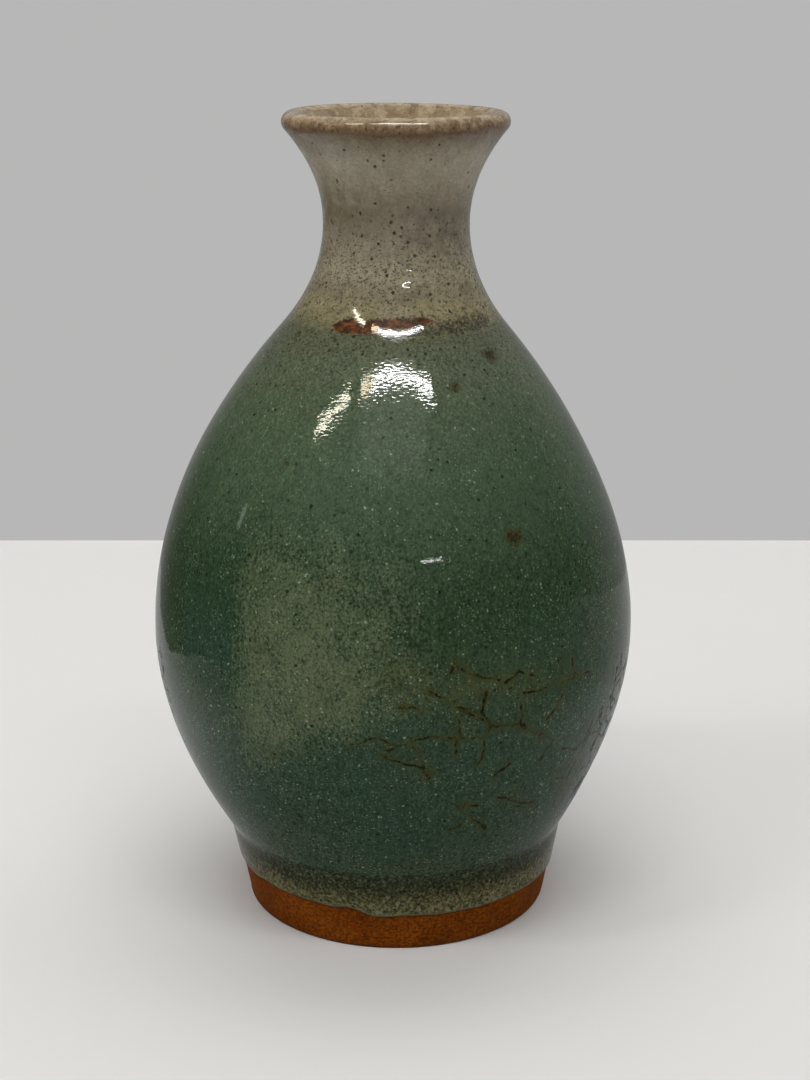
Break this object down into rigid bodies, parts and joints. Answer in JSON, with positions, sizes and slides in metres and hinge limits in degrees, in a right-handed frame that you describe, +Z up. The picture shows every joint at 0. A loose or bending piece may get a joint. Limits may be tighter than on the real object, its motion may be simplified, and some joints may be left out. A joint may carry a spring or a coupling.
{
  "type": "sake bottle",
  "caption": "Wheel-thrown stoneware bottle with a pear-shaped belly, waisted neck, flared rounded lip and bare turned foot, glazed green below and pale above, for warming and pouring.",
  "frame": {"origin": "centre of the foot ring's underside, on the surface the bottle stands on", "axes": "+Z up along the axis of revolution, through the mouth; the face shown in front looks along -Y"},
  "size_m": [0.09, 0.09, 0.15],
  "materials": {
    "bare_clay": "unglazed orange-brown stoneware, matte, with fine dark specks",
    "foot_glaze": "thin semi-gloss khaki glaze broken by dark brown specks",
    "body_glaze": "glossy mottled green glaze with fine pale specks and brown craze lines",
    "iron_glaze": "glossy iron red-brown glaze with dark mottling",
    "neck_glaze": "glossy greyish cream glaze with dark specks that grow denser downwards",
    "lip_glaze": "glossy tan glaze, mottled brown where it thins on the edge",
    "liner_glaze": "glossy greyish tan liner glaze"
  },
  "bodies": {
    "root": {"turned_foot": "bare_clay", "belly_wall": "bare_clay", "shoulder_wall": "bare_clay", "neck_wall": "bare_clay", "mouth_wall": "bare_clay", "foot_glaze": "foot_glaze", "body_glaze": "body_glaze", "iron_band": "iron_glaze", "neck_glaze": "neck_glaze", "lip_glaze": "lip_glaze", "inner_glaze": "liner_glaze"}
  },
  "joints": []
}
